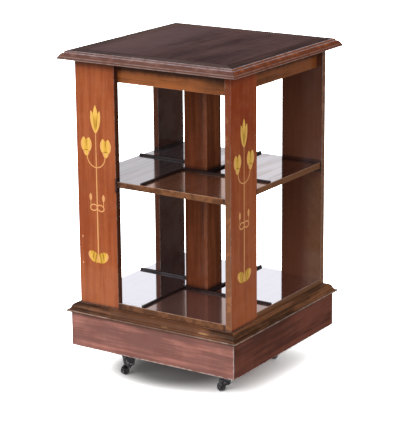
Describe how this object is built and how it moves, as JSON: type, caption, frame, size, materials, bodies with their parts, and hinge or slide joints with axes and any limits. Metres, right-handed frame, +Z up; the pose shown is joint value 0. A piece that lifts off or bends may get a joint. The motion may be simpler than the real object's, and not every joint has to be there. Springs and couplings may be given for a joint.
{
  "type": "revolving bookcase",
  "caption": "Square two-tier revolving bookcase with inlaid upright boards, moulded top, plinth and castors on a hidden cross stand.",
  "frame": {"origin": "on the floor, under the axis on which the case turns", "axes": "+Z up along the turning axis, -Y towards the front face, +X to its right"},
  "size_m": [0.5, 0.5, 0.825],
  "materials": {
    "mahogany_top_field": "french polished, plum brown, worn",
    "mahogany_top_border": "french polished, plum brown, worn edges",
    "mahogany_board": "french polished, orange brown",
    "mahogany_rail": "french polished, golden brown",
    "mahogany_shelf": "high french polish",
    "mahogany_strip": "dark stained, polished",
    "mahogany_column": "french polished, red brown",
    "mahogany_moulding": "polished, worn on its edges",
    "mahogany_plinth": "polished, pinkish brown, dusty sheen",
    "boxwood_inlay": "sand-shaded boxwood, polished flush",
    "stained_hardwood": "dark stained, matt",
    "dark_castor_iron": "blackened, satin",
    "castor_wheel_iron": "worn tread",
    "pivot_steel": "turned, oiled",
    "pivot_iron": "machined where it runs",
    "screw_steel": "plain slotted wood screws"
  },
  "bodies": {
    "stand": {"cross_arm_lower": "stained_hardwood", "cross_arm_upper": "stained_hardwood", "centre_post": "stained_hardwood", "pivot_pin": "pivot_steel", "turned_feet": "stained_hardwood", "caster_cups": "dark_castor_iron", "foot_screws": "screw_steel"},
    "case": {"top_panel": "mahogany_top_field", "top_frame_front": "mahogany_top_border", "top_frame_right": "mahogany_top_border", "top_frame_back": "mahogany_top_border", "top_frame_left": "mahogany_top_border", "side_board_front": "mahogany_board", "side_board_right": "mahogany_board", "side_board_back": "mahogany_board", "side_board_left": "mahogany_board", "inlay_front": "boxwood_inlay", "inlay_right": "boxwood_inlay", "inlay_back": "boxwood_inlay", "inlay_left": "boxwood_inlay", "apron_rail_front": "mahogany_rail", "apron_rail_right": "mahogany_rail", "apron_rail_back": "mahogany_rail", "apron_rail_left": "mahogany_rail", "middle_shelf": "mahogany_shelf", "bottom_shelf": "mahogany_shelf", "middle_shelf_strips": "mahogany_strip", "bottom_shelf_strips": "mahogany_strip", "column_board_front": "mahogany_column", "column_board_right": "mahogany_column", "column_board_back": "mahogany_column", "column_board_left": "mahogany_column", "base_moulding_front": "mahogany_moulding", "base_moulding_right": "mahogany_moulding", "base_moulding_back": "mahogany_moulding", "base_moulding_left": "mahogany_moulding", "plinth_front": "mahogany_plinth", "plinth_right": "mahogany_plinth", "plinth_back": "mahogany_plinth", "plinth_left": "mahogany_plinth", "corner_blocks": "stained_hardwood", "bearing_board": "stained_hardwood", "pivot_bearer": "stained_hardwood", "pivot_cup": "pivot_iron", "guide_ring": "pivot_iron", "top_screws": "screw_steel", "pivot_cup_screws": "screw_steel", "guide_ring_screws": "screw_steel"},
    "caster_1": {"caster_fork_1": "dark_castor_iron", "caster_axle_1": "pivot_steel"},
    "wheel_1": {"caster_wheel_1": "castor_wheel_iron"},
    "caster_2": {"caster_fork_2": "dark_castor_iron", "caster_axle_2": "pivot_steel"},
    "wheel_2": {"caster_wheel_2": "castor_wheel_iron"},
    "caster_3": {"caster_fork_3": "dark_castor_iron", "caster_axle_3": "pivot_steel"},
    "wheel_3": {"caster_wheel_3": "castor_wheel_iron"},
    "caster_4": {"caster_fork_4": "dark_castor_iron", "caster_axle_4": "pivot_steel"},
    "wheel_4": {"caster_wheel_4": "castor_wheel_iron"}
  },
  "joints": [
    {"name": "case_turn", "type": "hinge", "parent": "stand", "child": "case", "pos_m": [0, 0, 0.5], "axis": [0, 0, 1], "continuous": true},
    {"name": "caster_1_swivel", "type": "hinge", "parent": "stand", "child": "caster_1", "pos_m": [-0.13099, -0.14446, 0.026], "axis": [0, 0, 1], "continuous": true},
    {"name": "wheel_1_roll", "type": "hinge", "parent": "caster_1", "child": "wheel_1", "pos_m": [-0.13461, -0.15798, 0.011], "axis": [0.9659, -0.2588, 0], "continuous": true},
    {"name": "caster_2_swivel", "type": "hinge", "parent": "stand", "child": "caster_2", "pos_m": [0.14446, -0.13099, 0.026], "axis": [0, 0, 1], "continuous": true},
    {"name": "wheel_2_roll", "type": "hinge", "parent": "caster_2", "child": "wheel_2", "pos_m": [0.13107, -0.12689, 0.011], "axis": [-0.2924, -0.9563, 0], "continuous": true},
    {"name": "caster_3_swivel", "type": "hinge", "parent": "stand", "child": "caster_3", "pos_m": [0.13099, 0.14446, 0.026], "axis": [0, 0, 1], "continuous": true},
    {"name": "wheel_3_roll", "type": "hinge", "parent": "caster_3", "child": "wheel_3", "pos_m": [0.12441, 0.1321, 0.011], "axis": [0.8829, -0.4695, 0], "continuous": true},
    {"name": "caster_4_swivel", "type": "hinge", "parent": "stand", "child": "caster_4", "pos_m": [-0.14446, 0.13099, 0.026], "axis": [0, 0, 1], "continuous": true},
    {"name": "wheel_4_roll", "type": "hinge", "parent": "caster_4", "child": "wheel_4", "pos_m": [-0.13233, 0.13799, 0.011], "axis": [-0.5, 0.866, 0], "continuous": true}
  ]
}
